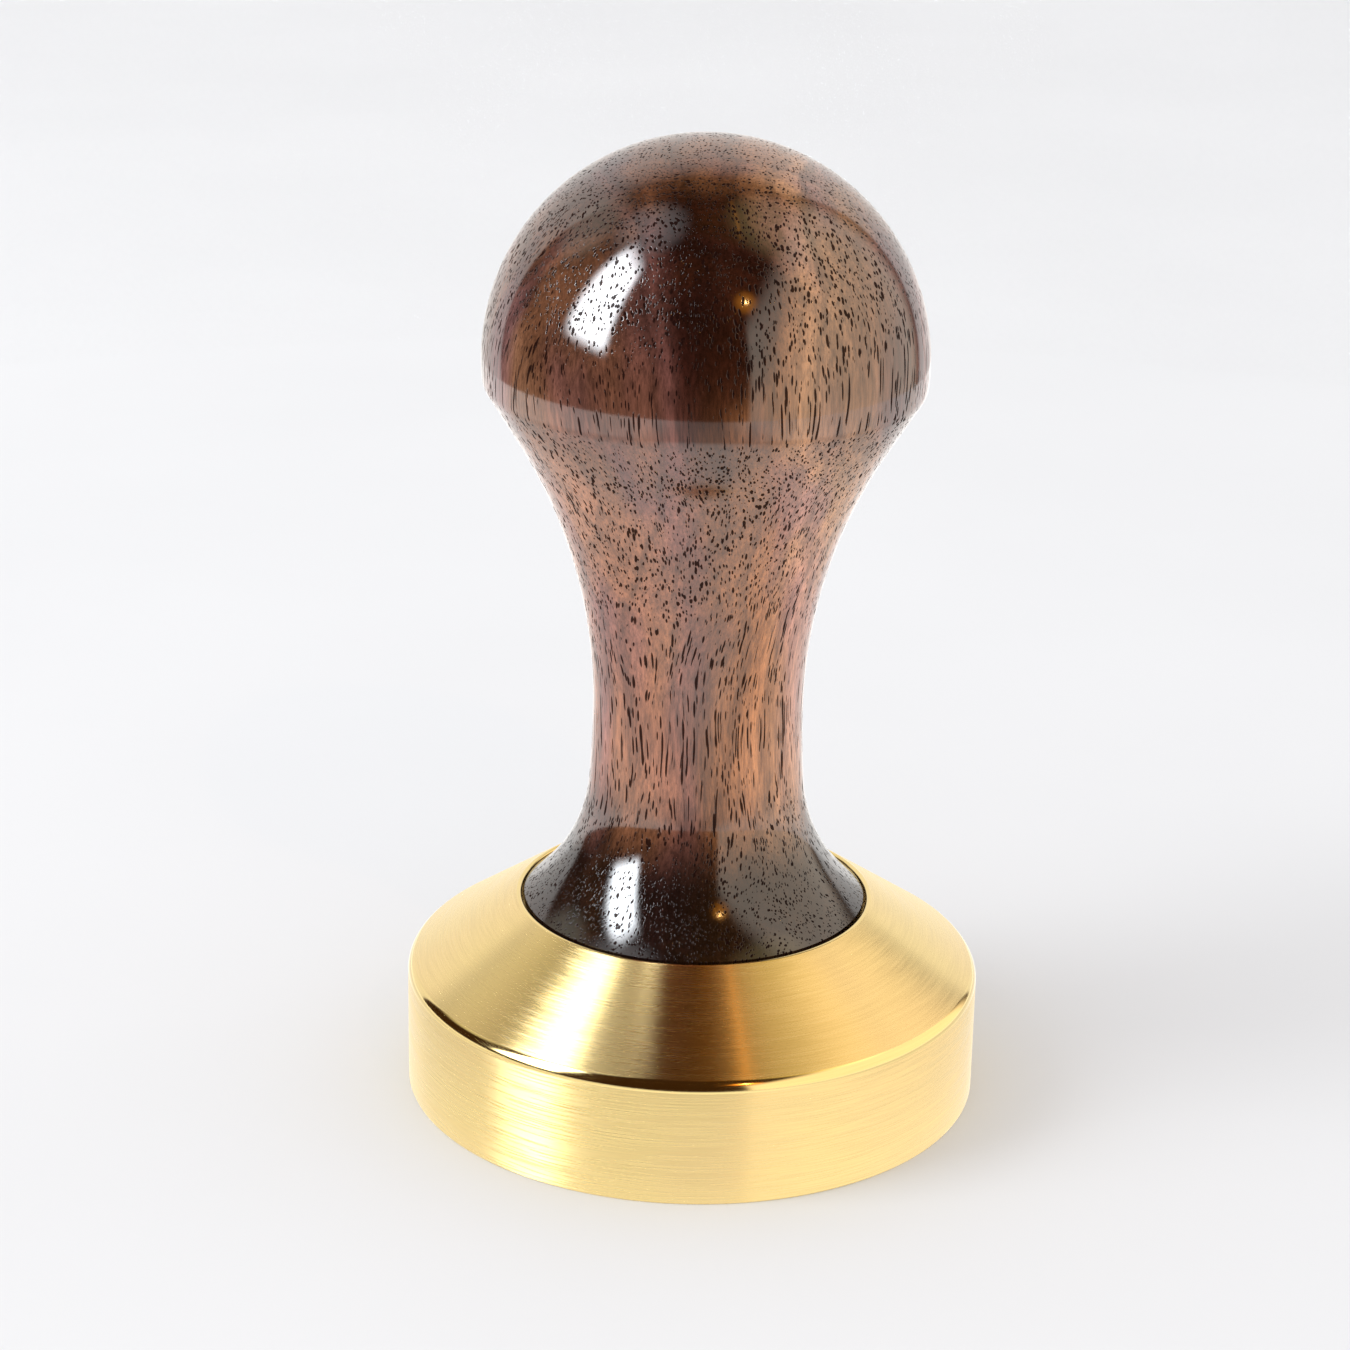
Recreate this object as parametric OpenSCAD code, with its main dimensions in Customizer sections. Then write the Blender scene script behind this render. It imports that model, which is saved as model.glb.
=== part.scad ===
// Espresso tamper: a brass piston with a turned walnut handle that screws onto it.
// Millimetres, +Z up. The origin is the centre of the flat face that presses the coffee.
// Every round piece is turned about the Z axis from an outline in the X-Z half plane.

/* [Brass base] */
// Diameter of the piston, which has to drop into a 58 mm filter basket
base_d = 58; // [57.6:0.1:58.4]
// Height where the wall and the cone would meet if the rim were left sharp
rim_h = 12.6; // [11:0.1:14]
// Radius of the polished rounding between the wall and the cone
rim_round = 1.5; // [0.5:0.1:2.5]
// Height where the cone would meet the recess wall if the lip were left sharp
tip_h = 20.45; // [19.5:0.05:22]
// Radius of the rounding on the lip round the handle's foot
lip_round = 0.35; // [0.2:0.05:0.6]
// Chamfer round the edge of the tamping face
base_chamfer = 0.25; // [0.1:0.05:0.8]
// Height of the recess floor, which the washer lies on
floor_h = 18; // [17:0.1:18.5]

/* [Stud and its hole] */
// Outside diameter of the M8 thread
stud_d = 8; // [8:0.5:10]
// Length of the stud, a standard set screw
stud_len = 20; // [18:1:22]
// Height of the stud's lower end above the tamping face
stud_h = 9; // [8:0.5:10]
// Interference per side that stands for the thread locked in the brass
stud_grip = 0.03; // [0.01:0.01:0.05]
// Width across the flats of the hexagon socket in the stud's top end
socket_af = 4; // [3:0.5:5]
// Depth of the hexagon socket
socket_depth = 4; // [3:0.5:5]
// Height where the drilled hole's straight wall ends
hole_end_h = 6.5; // [5:0.5:8]

/* [Washer] */
// Thickness of the shim washer under the handle
washer_t = 1; // [0.5:0.1:1.2]
// Outside diameter of the shim washer
washer_od = 16; // [14:0.5:20]
// Hole in the shim washer, loose on the stud
washer_id = 8.3; // [8.2:0.1:8.6]

/* [Walnut handle] */
// Height of the whole tamper, to the top of the ball
total_h = 97.6; // [95:0.1:100]
// Diameter of the ball that the palm pushes
ball_d = 43.2; // [42:0.1:44]
// Radius of the tight turn where the underside of the ball begins
shoulder_round = 2.3; // [1.5:0.1:3]
// Angle of the taper under the ball, from the vertical
taper_angle = 31.5; // [29:0.5:33]
// Radius of the long hollow between the neck and the taper
hollow_r = 53.4; // [50:0.1:56]
// Diameter of the neck at its narrowest
neck_d = 20.9; // [20:0.1:22]
// Height of the narrowest part of the neck
neck_h = 40.6; // [39:0.1:42]
// Radius of the nearly straight stretch below the neck
stem_r = 106; // [95:1:115]
// Radius of the flare that widens into the foot
flare_r = 17.7; // [16:0.1:19]
// Diameter of the foot, which sits down inside the lip of the base
foot_d = 34.4; // [34:0.1:35]
// Height where the flare ends and the foot's straight edge begins
foot_top_h = 20.15; // [19.9:0.05:20.5]
// Gap all round between the foot and the recess wall
foot_gap = 0.25; // [0.2:0.05:0.4]

/* [Threaded insert] */
// Outside diameter of the insert's body, pressed into the handle
insert_d = 12; // [11:0.5:13]
// Interference per side between the insert and its hole in the wood
insert_grip = 0.05; // [0.02:0.01:0.08]
// Diameter of the insert's flange
flange_d = 18; // [16:0.5:20]
// Thickness of the insert's flange
flange_t = 1.5; // [1.2:0.1:2]
// Length of the insert, which sets how far the handle travels on the thread
insert_len = 12; // [11:0.5:13]
// Clearance per side between the insert's thread and the stud's thread
thread_play = 0.05; // [0.03:0.01:0.08]
// Width of the driver slot across the flange
slot_w = 2; // [1.5:0.1:2.5]
// Depth of the driver slot
slot_depth = 1; // [0.6:0.1:1]

/* [Curves] */
// Largest angle that one straight step of a curved outline turns through
arc_step = 2.5; // [1:0.5:5]

/* [Hidden] */
$fn = 180;
// Half angle of a standard drill's point
DRILL_HALF = 59;
// Chamfer on the thread mouths and the stud's ends
LEAD = 0.6;
// Extra length that carries a cutting shape past the face it cuts
PAST = 0.5;

base_r = base_d / 2;
stud_r = stud_d / 2;
hole_r = stud_r - stud_grip;
foot_r = foot_d / 2;
recess_r = foot_r + foot_gap;
foot_h = floor_h + washer_t;
cone_angle = atan2(tip_h - rim_h, base_r - recess_r);
cone_out = [sin(cone_angle), cos(cone_angle)];

// Distance from each sharp corner to where its rounding begins
rim_tangent = rim_round * tan((90 - cone_angle) / 2);
lip_tangent = lip_round * tan((90 + cone_angle) / 2);
rim_centre = [base_r - rim_round, rim_h - rim_tangent];
lip_centre = [recess_r + lip_round, tip_h - lip_tangent];

ball_r = ball_d / 2;
neck_r = neck_d / 2;
ball_centre = [0, total_h - ball_r];
hollow_centre = [neck_r + hollow_r, neck_h];
stem_centre = [neck_r + stem_r, neck_h];

// The taper is a straight line that touches the hollow's arc and the shoulder's arc
taper_dir = [sin(taper_angle), cos(taper_angle)];
taper_in = [-cos(taper_angle), sin(taper_angle)];
taper_foot = hollow_centre + hollow_r * taper_in;
reach = taper_foot + shoulder_round * taper_in - ball_centre;
along = reach * taper_dir;
taper_len = sqrt(along * along - reach * reach + pow(ball_r - shoulder_round, 2)) - along;
taper_top = taper_foot + taper_len * taper_dir;
shoulder_centre = taper_top + shoulder_round * taper_in;

// The flare's arc touches the stem's arc and ends at the top of the foot
foot_top = [foot_r, foot_top_h];
flare_centre = crossing(foot_top, flare_r, stem_centre, stem_r - flare_r);

// The upper of the two points at distance ra from a and rb from b, with b right of a
function crossing(a, ra, b, rb) =
    let (
        d = norm(b - a),
        x = (ra * ra - rb * rb + d * d) / (2 * d),
        y = sqrt(ra * ra - x * x),
        u = (b - a) / d
    )
    a + x * u + y * [-u[1], u[0]];

// The direction from one point to another, as an angle
function heading(from, to) = atan2(to[1] - from[1], to[0] - from[0]);

// Points along an arc, without its first point, which the outline already has
function arc(centre, r, first, last) =
    let (n = ceil(abs(last - first) / arc_step))
    [for (i = [1:n])
        let (a = first + (last - first) * i / n)
        centre + r * [cos(a), sin(a)]];

// The base, from the tamping face round the rim and the lip to the drilled hole
base_outline = [
    [0, 0],
    [base_r - base_chamfer, 0],
    [base_r, base_chamfer],
    [base_r, rim_centre[1]],
    each arc(rim_centre, rim_round, 0, 90 - cone_angle),
    lip_centre + lip_round * cone_out,
    each arc(lip_centre, lip_round, 90 - cone_angle, 180),
    [recess_r, floor_h],
    [hole_r + LEAD, floor_h],
    [hole_r, floor_h - LEAD],
    [hole_r, hole_end_h],
    [0, hole_end_h - hole_r / tan(DRILL_HALF)]
];

// The handle, from the end of the insert's hole down to the foot and up round the ball
bore_r = insert_d / 2 - insert_grip;
bore_end = foot_h + insert_len + 0.5;
counterbore_r = flange_d / 2 + 0.1;
stem_turn = heading(stem_centre, flare_centre);
shoulder_turn = heading(ball_centre, shoulder_centre);
handle_outline = [
    [0, bore_end + bore_r / tan(DRILL_HALF)],
    [bore_r, bore_end],
    [bore_r, foot_h + flange_t],
    [counterbore_r, foot_h + flange_t],
    [counterbore_r, foot_h],
    [foot_r, foot_h],
    foot_top,
    each arc(flare_centre, flare_r, heading(flare_centre, foot_top), stem_turn),
    each arc(stem_centre, stem_r, stem_turn, -180),
    each arc(hollow_centre, hollow_r, 180, 180 - taper_angle),
    taper_top,
    each arc(shoulder_centre, shoulder_round, -taper_angle, shoulder_turn),
    each arc(ball_centre, ball_r, shoulder_turn, 90)
];

// The stud, with a lead chamfer at both ends
stud_outline = [
    [0, stud_h],
    [stud_r - LEAD, stud_h],
    [stud_r, stud_h + LEAD],
    [stud_r, stud_h + stud_len - LEAD],
    [stud_r - LEAD, stud_h + stud_len],
    [0, stud_h + stud_len]
];

// The insert, from its thread's mouth round the flange to its far end
thread_r = stud_r + thread_play;
insert_outline = [
    [thread_r + LEAD, foot_h],
    [flange_d / 2, foot_h],
    [flange_d / 2, foot_h + flange_t],
    [insert_d / 2, foot_h + flange_t],
    [insert_d / 2, foot_h + insert_len - LEAD],
    [insert_d / 2 - LEAD, foot_h + insert_len],
    [thread_r, foot_h + insert_len],
    [thread_r, foot_h + LEAD]
];

// The brass piston, with the recess for the handle's foot and the stud's blind hole
module base() {
    color("goldenrod")
        rotate_extrude()
            polygon(base_outline);
}

// The M8 set screw that is locked in the base and carries the handle
module stud() {
    color("silver")
        difference() {
            rotate_extrude()
                polygon(stud_outline);
            translate([0, 0, stud_h + stud_len - socket_depth])
                cylinder(d = socket_af / cos(30), h = socket_depth + PAST, $fn = 6);
        }
}

// The shim washer between the recess floor and the insert's flange
module washer() {
    color("lightsteelblue")
        translate([0, 0, floor_h])
            difference() {
                cylinder(d = washer_od, h = washer_t);
                translate([0, 0, -PAST])
                    cylinder(d = washer_id, h = washer_t + 2 * PAST);
            }
}

// The turned walnut handle, with the stepped hole for the insert
module handle() {
    color("saddlebrown")
        rotate_extrude()
            polygon(handle_outline);
}

// The flanged brass insert that is pressed into the handle and runs on the stud
module threaded_insert() {
    color("darkkhaki")
        difference() {
            rotate_extrude()
                polygon(insert_outline);
            translate([-flange_d, -slot_w / 2, foot_h - PAST])
                cube([2 * flange_d, slot_w, slot_depth + PAST]);
        }
}

base();
stud();
washer();
handle();
threaded_insert();
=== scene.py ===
"""Espresso tamper: a brushed brass base with a turned walnut handle that screws onto it.

Every piece is turned round the Z axis, in metres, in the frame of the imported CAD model.
"""

import logging
import math
from dataclasses import dataclass, field
from enum import Enum

import bpy
from mathutils import Matrix, Vector


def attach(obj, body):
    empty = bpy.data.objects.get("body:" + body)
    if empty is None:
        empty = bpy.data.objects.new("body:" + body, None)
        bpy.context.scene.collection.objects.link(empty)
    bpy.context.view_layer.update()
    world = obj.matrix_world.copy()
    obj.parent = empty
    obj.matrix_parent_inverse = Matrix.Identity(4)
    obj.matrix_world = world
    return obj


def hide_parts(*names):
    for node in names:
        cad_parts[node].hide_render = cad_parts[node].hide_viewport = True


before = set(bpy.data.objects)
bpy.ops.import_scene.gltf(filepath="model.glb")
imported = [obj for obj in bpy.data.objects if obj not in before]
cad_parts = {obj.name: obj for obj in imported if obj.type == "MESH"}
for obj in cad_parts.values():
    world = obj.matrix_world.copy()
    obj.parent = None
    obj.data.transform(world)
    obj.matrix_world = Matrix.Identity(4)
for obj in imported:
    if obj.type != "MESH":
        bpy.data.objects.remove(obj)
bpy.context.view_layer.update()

logging.basicConfig(level=logging.INFO, format="%(message)s")
LOG = logging.getLogger("tamper")

MM = 0.001
MERGE = 1e-6
FULL_TURN = 2 * math.pi
QUARTER_TURN = 0.25
WHOLE = (1.0, 1.0, 1.0)
THREAD_SMOOTH = 20.0
THREAD_DEPTH = 0.6134
DRILL_POINT = math.radians(59)
BRASS = (0.780, 0.600, 0.262)
BLUSH = (0.780, 0.545, 0.290)

Point = tuple[float, float]
Outline = list[Point]
Colour = tuple[float, float, float]
Place = tuple[float, float, float]
Socket = bpy.types.NodeSocket
Piece = bpy.types.Object
Material = bpy.types.Material


class Body(Enum):
    """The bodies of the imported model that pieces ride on."""

    BASE = "base"
    WASHER = "washer"
    HANDLE = "handle"


# ---------------- outlines


def arc(centre: Point, radius: float, first: float, last: float, step: float = 3.0) -> Outline:
    """Gives the points along an arc, both ends included.

    Args:
        centre: The arc's centre in the X-Z half plane.
        radius: Its radius.
        first: The angle of the first point, in degrees from +X.
        last: The angle of the last point, in degrees.
        step: The largest angle between two points.

    Returns:
        The points in order.
    """
    count = max(1, math.ceil(abs(last - first) / step))
    angles = [math.radians(first + (last - first) * i / count) for i in range(count + 1)]
    return [(centre[0] + radius * math.cos(a), centre[1] + radius * math.sin(a)) for a in angles]


def heading(start: Point, end: Point) -> float:
    """Gives the direction from one point to another, in degrees from +X."""
    return math.degrees(math.atan2(end[1] - start[1], end[0] - start[0]))


def upper_crossing(a: Point, ra: float, b: Point, rb: float) -> Point:
    """Finds the upper point that lies ra from a and rb from b, where b is right of a.

    Args:
        a: The left centre.
        ra: The distance from it.
        b: The right centre.
        rb: The distance from it.

    Returns:
        The crossing point.
    """
    dx, dz = b[0] - a[0], b[1] - a[1]
    gap = math.hypot(dx, dz)
    along = (ra * ra - rb * rb + gap * gap) / (2 * gap)
    off = math.sqrt(ra * ra - along * along)
    ux, uz = dx / gap, dz / gap
    return (a[0] + along * ux - off * uz, a[1] + along * uz + off * ux)


def tidied(outline: Outline) -> Outline:
    """Drops each point that repeats the one before it.

    Args:
        outline: The points in order.

    Returns:
        Those that are kept.
    """
    kept = outline[:1]
    for point in outline[1:]:
        if math.dist(point, kept[-1]) > 2 * MERGE:
            kept.append(point)
    return kept


# ---------------- workshop


def only(piece: Piece) -> None:
    """Selects one object and nothing else, and makes it active.

    Args:
        piece: The object.
    """
    bpy.ops.object.select_all(action="DESELECT")
    piece.select_set(True)
    bpy.context.view_layer.objects.active = piece


def drawn(name: str, outline: Outline) -> Piece:
    """Draws an outline in the X-Z half plane as a chain of edges.

    Args:
        name: The new object's name.
        outline: The points in order.

    Returns:
        The object, left in edit mode with everything selected.
    """
    bpy.ops.object.select_all(action="DESELECT")
    start = (outline[0][0], 0.0, outline[0][1])
    bpy.ops.mesh.primitive_plane_add(size=MM, location=start)
    piece = bpy.context.object
    piece.name = piece.data.name = name
    bpy.ops.object.transform_apply(location=True, rotation=True, scale=True)
    bpy.ops.object.mode_set(mode="EDIT")
    bpy.ops.mesh.select_mode(type="VERT")
    bpy.ops.mesh.select_all(action="SELECT")
    bpy.ops.mesh.merge(type="CENTER")
    for (x0, z0), (x1, z1) in zip(outline, outline[1:]):
        move = {"value": (x1 - x0, 0.0, z1 - z0)}
        bpy.ops.mesh.extrude_vertices_move(TRANSFORM_OT_translate=move)
    bpy.ops.mesh.select_all(action="SELECT")
    return piece


def closed_up(piece: Piece, smooth: float) -> None:
    """Merges doubles, turns the faces outwards and smooths the shallow edges.

    Args:
        piece: The object, in edit mode.
        smooth: Edges that turn less than this many degrees are shaded smooth.
    """
    bpy.ops.mesh.select_all(action="SELECT")
    bpy.ops.mesh.remove_doubles(threshold=MERGE)
    bpy.ops.mesh.normals_make_consistent(inside=False)
    bpy.ops.object.mode_set(mode="OBJECT")
    only(piece)
    bpy.ops.object.shade_smooth_by_angle(angle=math.radians(smooth))


def turned(name: str, outline: Outline, steps: int, smooth: float = 25) -> Piece:
    """Turns a piece on the lathe: draws its outline and spins it round the Z axis.

    Args:
        name: The piece's name.
        outline: The outline, from axis to axis or back to its own start.
        steps: How many steps make the full turn.
        smooth: The smoothing angle in degrees.

    Returns:
        The closed piece.
    """
    piece = drawn(name, tidied(outline))
    bpy.ops.mesh.spin(steps=steps, angle=FULL_TURN, center=(0, 0, 0), axis=(0, 0, 1))
    closed_up(piece, smooth)
    return piece


def modified(piece: Piece, kind: str, **settings: object) -> None:
    """Adds a modifier to a piece and applies it.

    Args:
        piece: The piece to change.
        kind: The modifier's type.
        settings: Its settings by name.
    """
    only(piece)
    bpy.ops.object.modifier_add(type=kind)
    modifier = piece.modifiers[-1]
    for key, value in settings.items():
        setattr(modifier, key, value)
    bpy.ops.object.modifier_apply(modifier=modifier.name)


def carved(piece: Piece, tool: Piece, operation: str = "DIFFERENCE") -> None:
    """Cuts a piece with a tool object, and throws the tool away.

    Args:
        piece: The piece to cut.
        tool: The closed object that cuts it.
        operation: DIFFERENCE to cut the tool out, INTERSECT to keep what lies in it.
    """
    modified(piece, "BOOLEAN", operation=operation, object=tool, solver="EXACT")
    only(tool)
    bpy.ops.object.delete()
    only(piece)


def dressed(piece: Piece, *finishes: Material) -> None:
    """Gives a piece these materials and no others."""
    piece.data.materials.clear()
    for finish in finishes:
        piece.data.materials.append(finish)


def finished(piece: Piece, node: str, body: Body) -> None:
    """Puts a finished piece in place of its CAD node, on its body.

    Args:
        piece: The finished piece.
        node: The CAD node that it stands for.
        body: The body that it rides on.
    """
    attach(piece, body.value)
    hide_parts(node)
    LOG.info("%s: %d faces", piece.name, len(piece.data.polygons))


# ---------------- threads


@dataclass(frozen=True)
class MetricThread:
    """A right-handed metric thread, cut round the Z axis.

    Its crest starts on +X at height zero and climbs one pitch a turn, so that a male and a
    female thread of the same pitch always mesh.
    """

    radius: float = 4.0 * MM
    pitch: float = 1.25 * MM
    steps: int = 72

    def tooth(self, play: float) -> Outline:
        """Draws one pitch of the thread's side.

        Args:
            play: How far it is moved outwards.

        Returns:
            Its points in order.
        """
        crest = self.radius + play
        root = crest - THREAD_DEPTH * self.pitch
        marks = ((root, 0.0), (root, 0.25), (crest, 0.5625), (crest, 0.6875), (root, 1.0))
        return [(r, z * self.pitch) for r, z in marks]

    def rod(self, name: str, low: float, high: float, play: float = 0.0) -> Piece:
        """Cuts a threaded rod.

        Args:
            name: The rod's name.
            low: The height of its lower end.
            high: The height of its upper end.
            play: How far the whole thread stands outwards, for a tap.

        Returns:
            The closed rod.
        """
        first = math.floor(low / self.pitch) - 1
        turns = math.ceil((high - low) / self.pitch) + 3
        start = first * self.pitch
        rod = drawn(name, [(r, z + start) for r, z in self.tooth(play)])
        bpy.ops.object.mode_set(mode="OBJECT")
        modified(
            rod,
            "SCREW",
            angle=FULL_TURN,
            screw_offset=self.pitch,
            iterations=turns,
            steps=self.steps,
            render_steps=self.steps,
        )
        bpy.ops.object.mode_set(mode="EDIT")
        bpy.ops.mesh.select_all(action="SELECT")
        bpy.ops.mesh.remove_doubles(threshold=MERGE)
        up = (0, 0, 1)
        bpy.ops.mesh.bisect(plane_co=(0, 0, low), plane_no=up, use_fill=True, clear_inner=True)
        bpy.ops.mesh.select_all(action="SELECT")
        bpy.ops.mesh.bisect(plane_co=(0, 0, high), plane_no=up, use_fill=True, clear_outer=True)
        closed_up(rod, THREAD_SMOOTH)
        return rod


# ---------------- finishes


class Wiring:
    """Builds one node tree, a node or a sum at a time."""

    def __init__(self, tree: bpy.types.NodeTree) -> None:
        """Empties the tree, ready to be built."""
        tree.nodes.clear()
        self.tree = tree

    def node(self, kind: str, **settings: object) -> bpy.types.Node:
        """Adds a node.

        Args:
            kind: The node's type.
            settings: Its settings by name. A name that is one of its inputs sets or links
                that input, with underscores for spaces.

        Returns:
            The node.
        """
        made = self.tree.nodes.new(kind)
        inputs = {}
        for key, value in settings.items():
            if hasattr(made, key):
                setattr(made, key, value)
            else:
                inputs[key.replace("_", " ")] = value
        for key, value in inputs.items():
            self.feed(made.inputs[key], value)
        return made

    def feed(self, socket: Socket, value: object) -> None:
        """Links a socket to another, or sets its value."""
        if isinstance(value, bpy.types.NodeSocket):
            self.tree.links.new(value, socket)
        else:
            socket.default_value = value

    def sum(self, operation: str, *values: object, clamp: bool = False) -> Socket:
        """Adds a Math node.

        Args:
            operation: The sum to do.
            values: Its inputs, numbers or sockets.
            clamp: Whether the result stays between 0 and 1.

        Returns:
            The result's socket.
        """
        made = self.node("ShaderNodeMath", operation=operation, use_clamp=clamp)
        for socket, value in zip(made.inputs, values):
            self.feed(socket, value)
        return made.outputs[0]

    def vector(self, operation: str, *values: object, output: str = "Vector") -> Socket:
        """Adds a Vector Math node.

        Args:
            operation: What it does.
            values: Its inputs, vectors or sockets.
            output: The output that is wanted.

        Returns:
            That output.
        """
        made = self.node("ShaderNodeVectorMath", operation=operation)
        for socket, value in zip(made.inputs, values):
            self.feed(socket, value)
        return made.outputs[output]

    def times(self, first: object, *others: object) -> Socket:
        """Multiplies values together.

        Args:
            first: The first number or socket.
            others: The others.

        Returns:
            Their product.
        """
        for other in others:
            first = self.sum("MULTIPLY", first, other)
        return first

    def joined(self, x: object, y: object, z: object) -> Socket:
        """Makes a vector of three values."""
        return self.node("ShaderNodeCombineXYZ", X=x, Y=y, Z=z).outputs[0]

    def split(self, vector: Socket) -> tuple[Socket, ...]:
        """Gives the three values of a vector."""
        return tuple(self.node("ShaderNodeSeparateXYZ", Vector=vector).outputs)

    def shaded(self, colour: object, shade: Socket) -> Socket:
        """Multiplies a colour by one value."""
        return self.blend(1.0, colour, self.joined(shade, shade, shade), "MULTIPLY")

    def noise(self, vector: Socket, scale: Place, detail: float = 2.0, **more: object) -> Socket:
        """Adds a Noise texture.

        Args:
            vector: Where it is read.
            scale: Its scale along each axis.
            detail: How many finer layers it has.
            more: Other settings, such as roughness.

        Returns:
            Its value socket.
        """
        read = self.vector("MULTIPLY", vector, scale)
        made = self.node("ShaderNodeTexNoise", Vector=read, Scale=1.0, Detail=detail, **more)
        return made.outputs[0]

    def wandered(self, place: Socket, scale: Place, detail: float, reach: float) -> Socket:
        """Shifts a place sideways by a noise that is read there.

        Args:
            place: The place.
            scale: The noise's scale along each axis.
            detail: How many finer layers the noise has.
            reach: How far the shift spans.

        Returns:
            The shifted place.
        """
        read = self.vector("MULTIPLY", place, scale)
        noise = self.node("ShaderNodeTexNoise", Vector=read, Scale=1.0, Detail=detail)
        swing = self.vector("SUBTRACT", noise.outputs["Color"], (0.5, 0.5, 0.5))
        return self.vector("ADD", place, self.vector("MULTIPLY", swing, (reach, reach, 0.0)))

    def eased(self, value: Socket, low: float, high: float, to: Point = (0.0, 1.0)) -> Socket:
        """Maps a range smoothly onto another.

        Args:
            value: The value to map.
            low: Where the new range starts.
            high: Where it ends.
            to: The values at its two ends.

        Returns:
            The mapped value.
        """
        span = {"From_Min": low, "From_Max": high, "To_Min": to[0], "To_Max": to[1]}
        kind = "SMOOTHSTEP"
        made = self.node("ShaderNodeMapRange", interpolation_type=kind, Value=value, **span)
        return made.outputs[0]

    def blend(self, share: object, under: object, over: object, kind: str = "MIX") -> Socket:
        """Mixes two colours.

        Args:
            share: How much of the upper colour shows.
            under: The lower colour.
            over: The upper colour.
            kind: The way they mix.

        Returns:
            The mixed colour.
        """
        made = self.node("ShaderNodeMix", data_type="RGBA", blend_type=kind, Factor=share)
        for key, given in (("A", under), ("B", over)):
            socket = next(s for s in made.inputs if s.name == key and s.type == "RGBA")
            self.feed(socket, (*given, 1.0) if isinstance(given, tuple) else given)
        return next(s for s in made.outputs if s.type == "RGBA")

    def ramp(self, value: Socket, stops: list[tuple[float, Colour]]) -> Socket:
        """Adds a colour ramp.

        Args:
            value: Where it is read, from 0 to 1.
            stops: Places and colours, in order.

        Returns:
            Its colour socket.
        """
        made = self.node("ShaderNodeValToRGB", Fac=value)
        made.color_ramp.interpolation = "EASE"
        elements = made.color_ramp.elements
        while len(elements) < len(stops):
            elements.new(1.0)
        for element, (place, colour) in zip(elements, stops):
            element.position = place
            element.color = (*colour, 1.0)
        return made.outputs[0]

    def bump(self, height: Socket, distance: float, strength: float = 1.0) -> Socket:
        """Adds a Bump node and gives its normal."""
        made = self.node("ShaderNodeBump", Height=height, Distance=distance, Strength=strength)
        return made.outputs[0]


def new_material(name: str) -> tuple[Material, Wiring]:
    """Makes a material with an empty node tree.

    Args:
        name: Its name.

    Returns:
        The material, and the wiring to fill its tree.
    """
    material = bpy.data.materials.new(name)
    material.use_nodes = True
    return material, Wiring(material.node_tree)


def surfaced(w: Wiring, **settings: object) -> None:
    """Ends a tree in one Principled shader with these inputs."""
    shader = w.node("ShaderNodeBsdfPrincipled", **settings)
    w.node("ShaderNodeOutputMaterial", Surface=shader.outputs[0])


def in_millimetres(w: Wiring) -> Socket:
    """Gives the piece's own Object coordinates, in millimetres."""
    place = w.node("ShaderNodeTexCoord").outputs["Object"]
    return w.vector("MULTIPLY", place, (1000.0, 1000.0, 1000.0))


def lathe_lines(w: Wiring, place: Socket, length: float, height: float) -> Socket:
    """Gives a noise that is stretched round the Z axis, so that it runs in lathe lines.

    Args:
        w: The tree to build in.
        place: The place in millimetres.
        length: How long the lines are, as a fraction of the radius.
        height: How high one line is, in millimetres.

    Returns:
        The noise, from 0 to 1.
    """
    x, y, z = w.split(place)
    squares = w.sum("ADD", w.times(x, x), w.times(y, y))
    radius = w.sum("SQRT", squares)
    safe = w.sum("MAXIMUM", radius, 0.01)
    across = w.sum("DIVIDE", w.sum("DIVIDE", x, safe), length)
    around = w.sum("DIVIDE", w.sum("DIVIDE", y, safe), length)
    out = w.sum("DIVIDE", radius, height)
    up = w.sum("DIVIDE", z, height)
    return w.noise(w.joined(out, up, across), WHOLE, noise_dimensions="4D", W=around)


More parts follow.
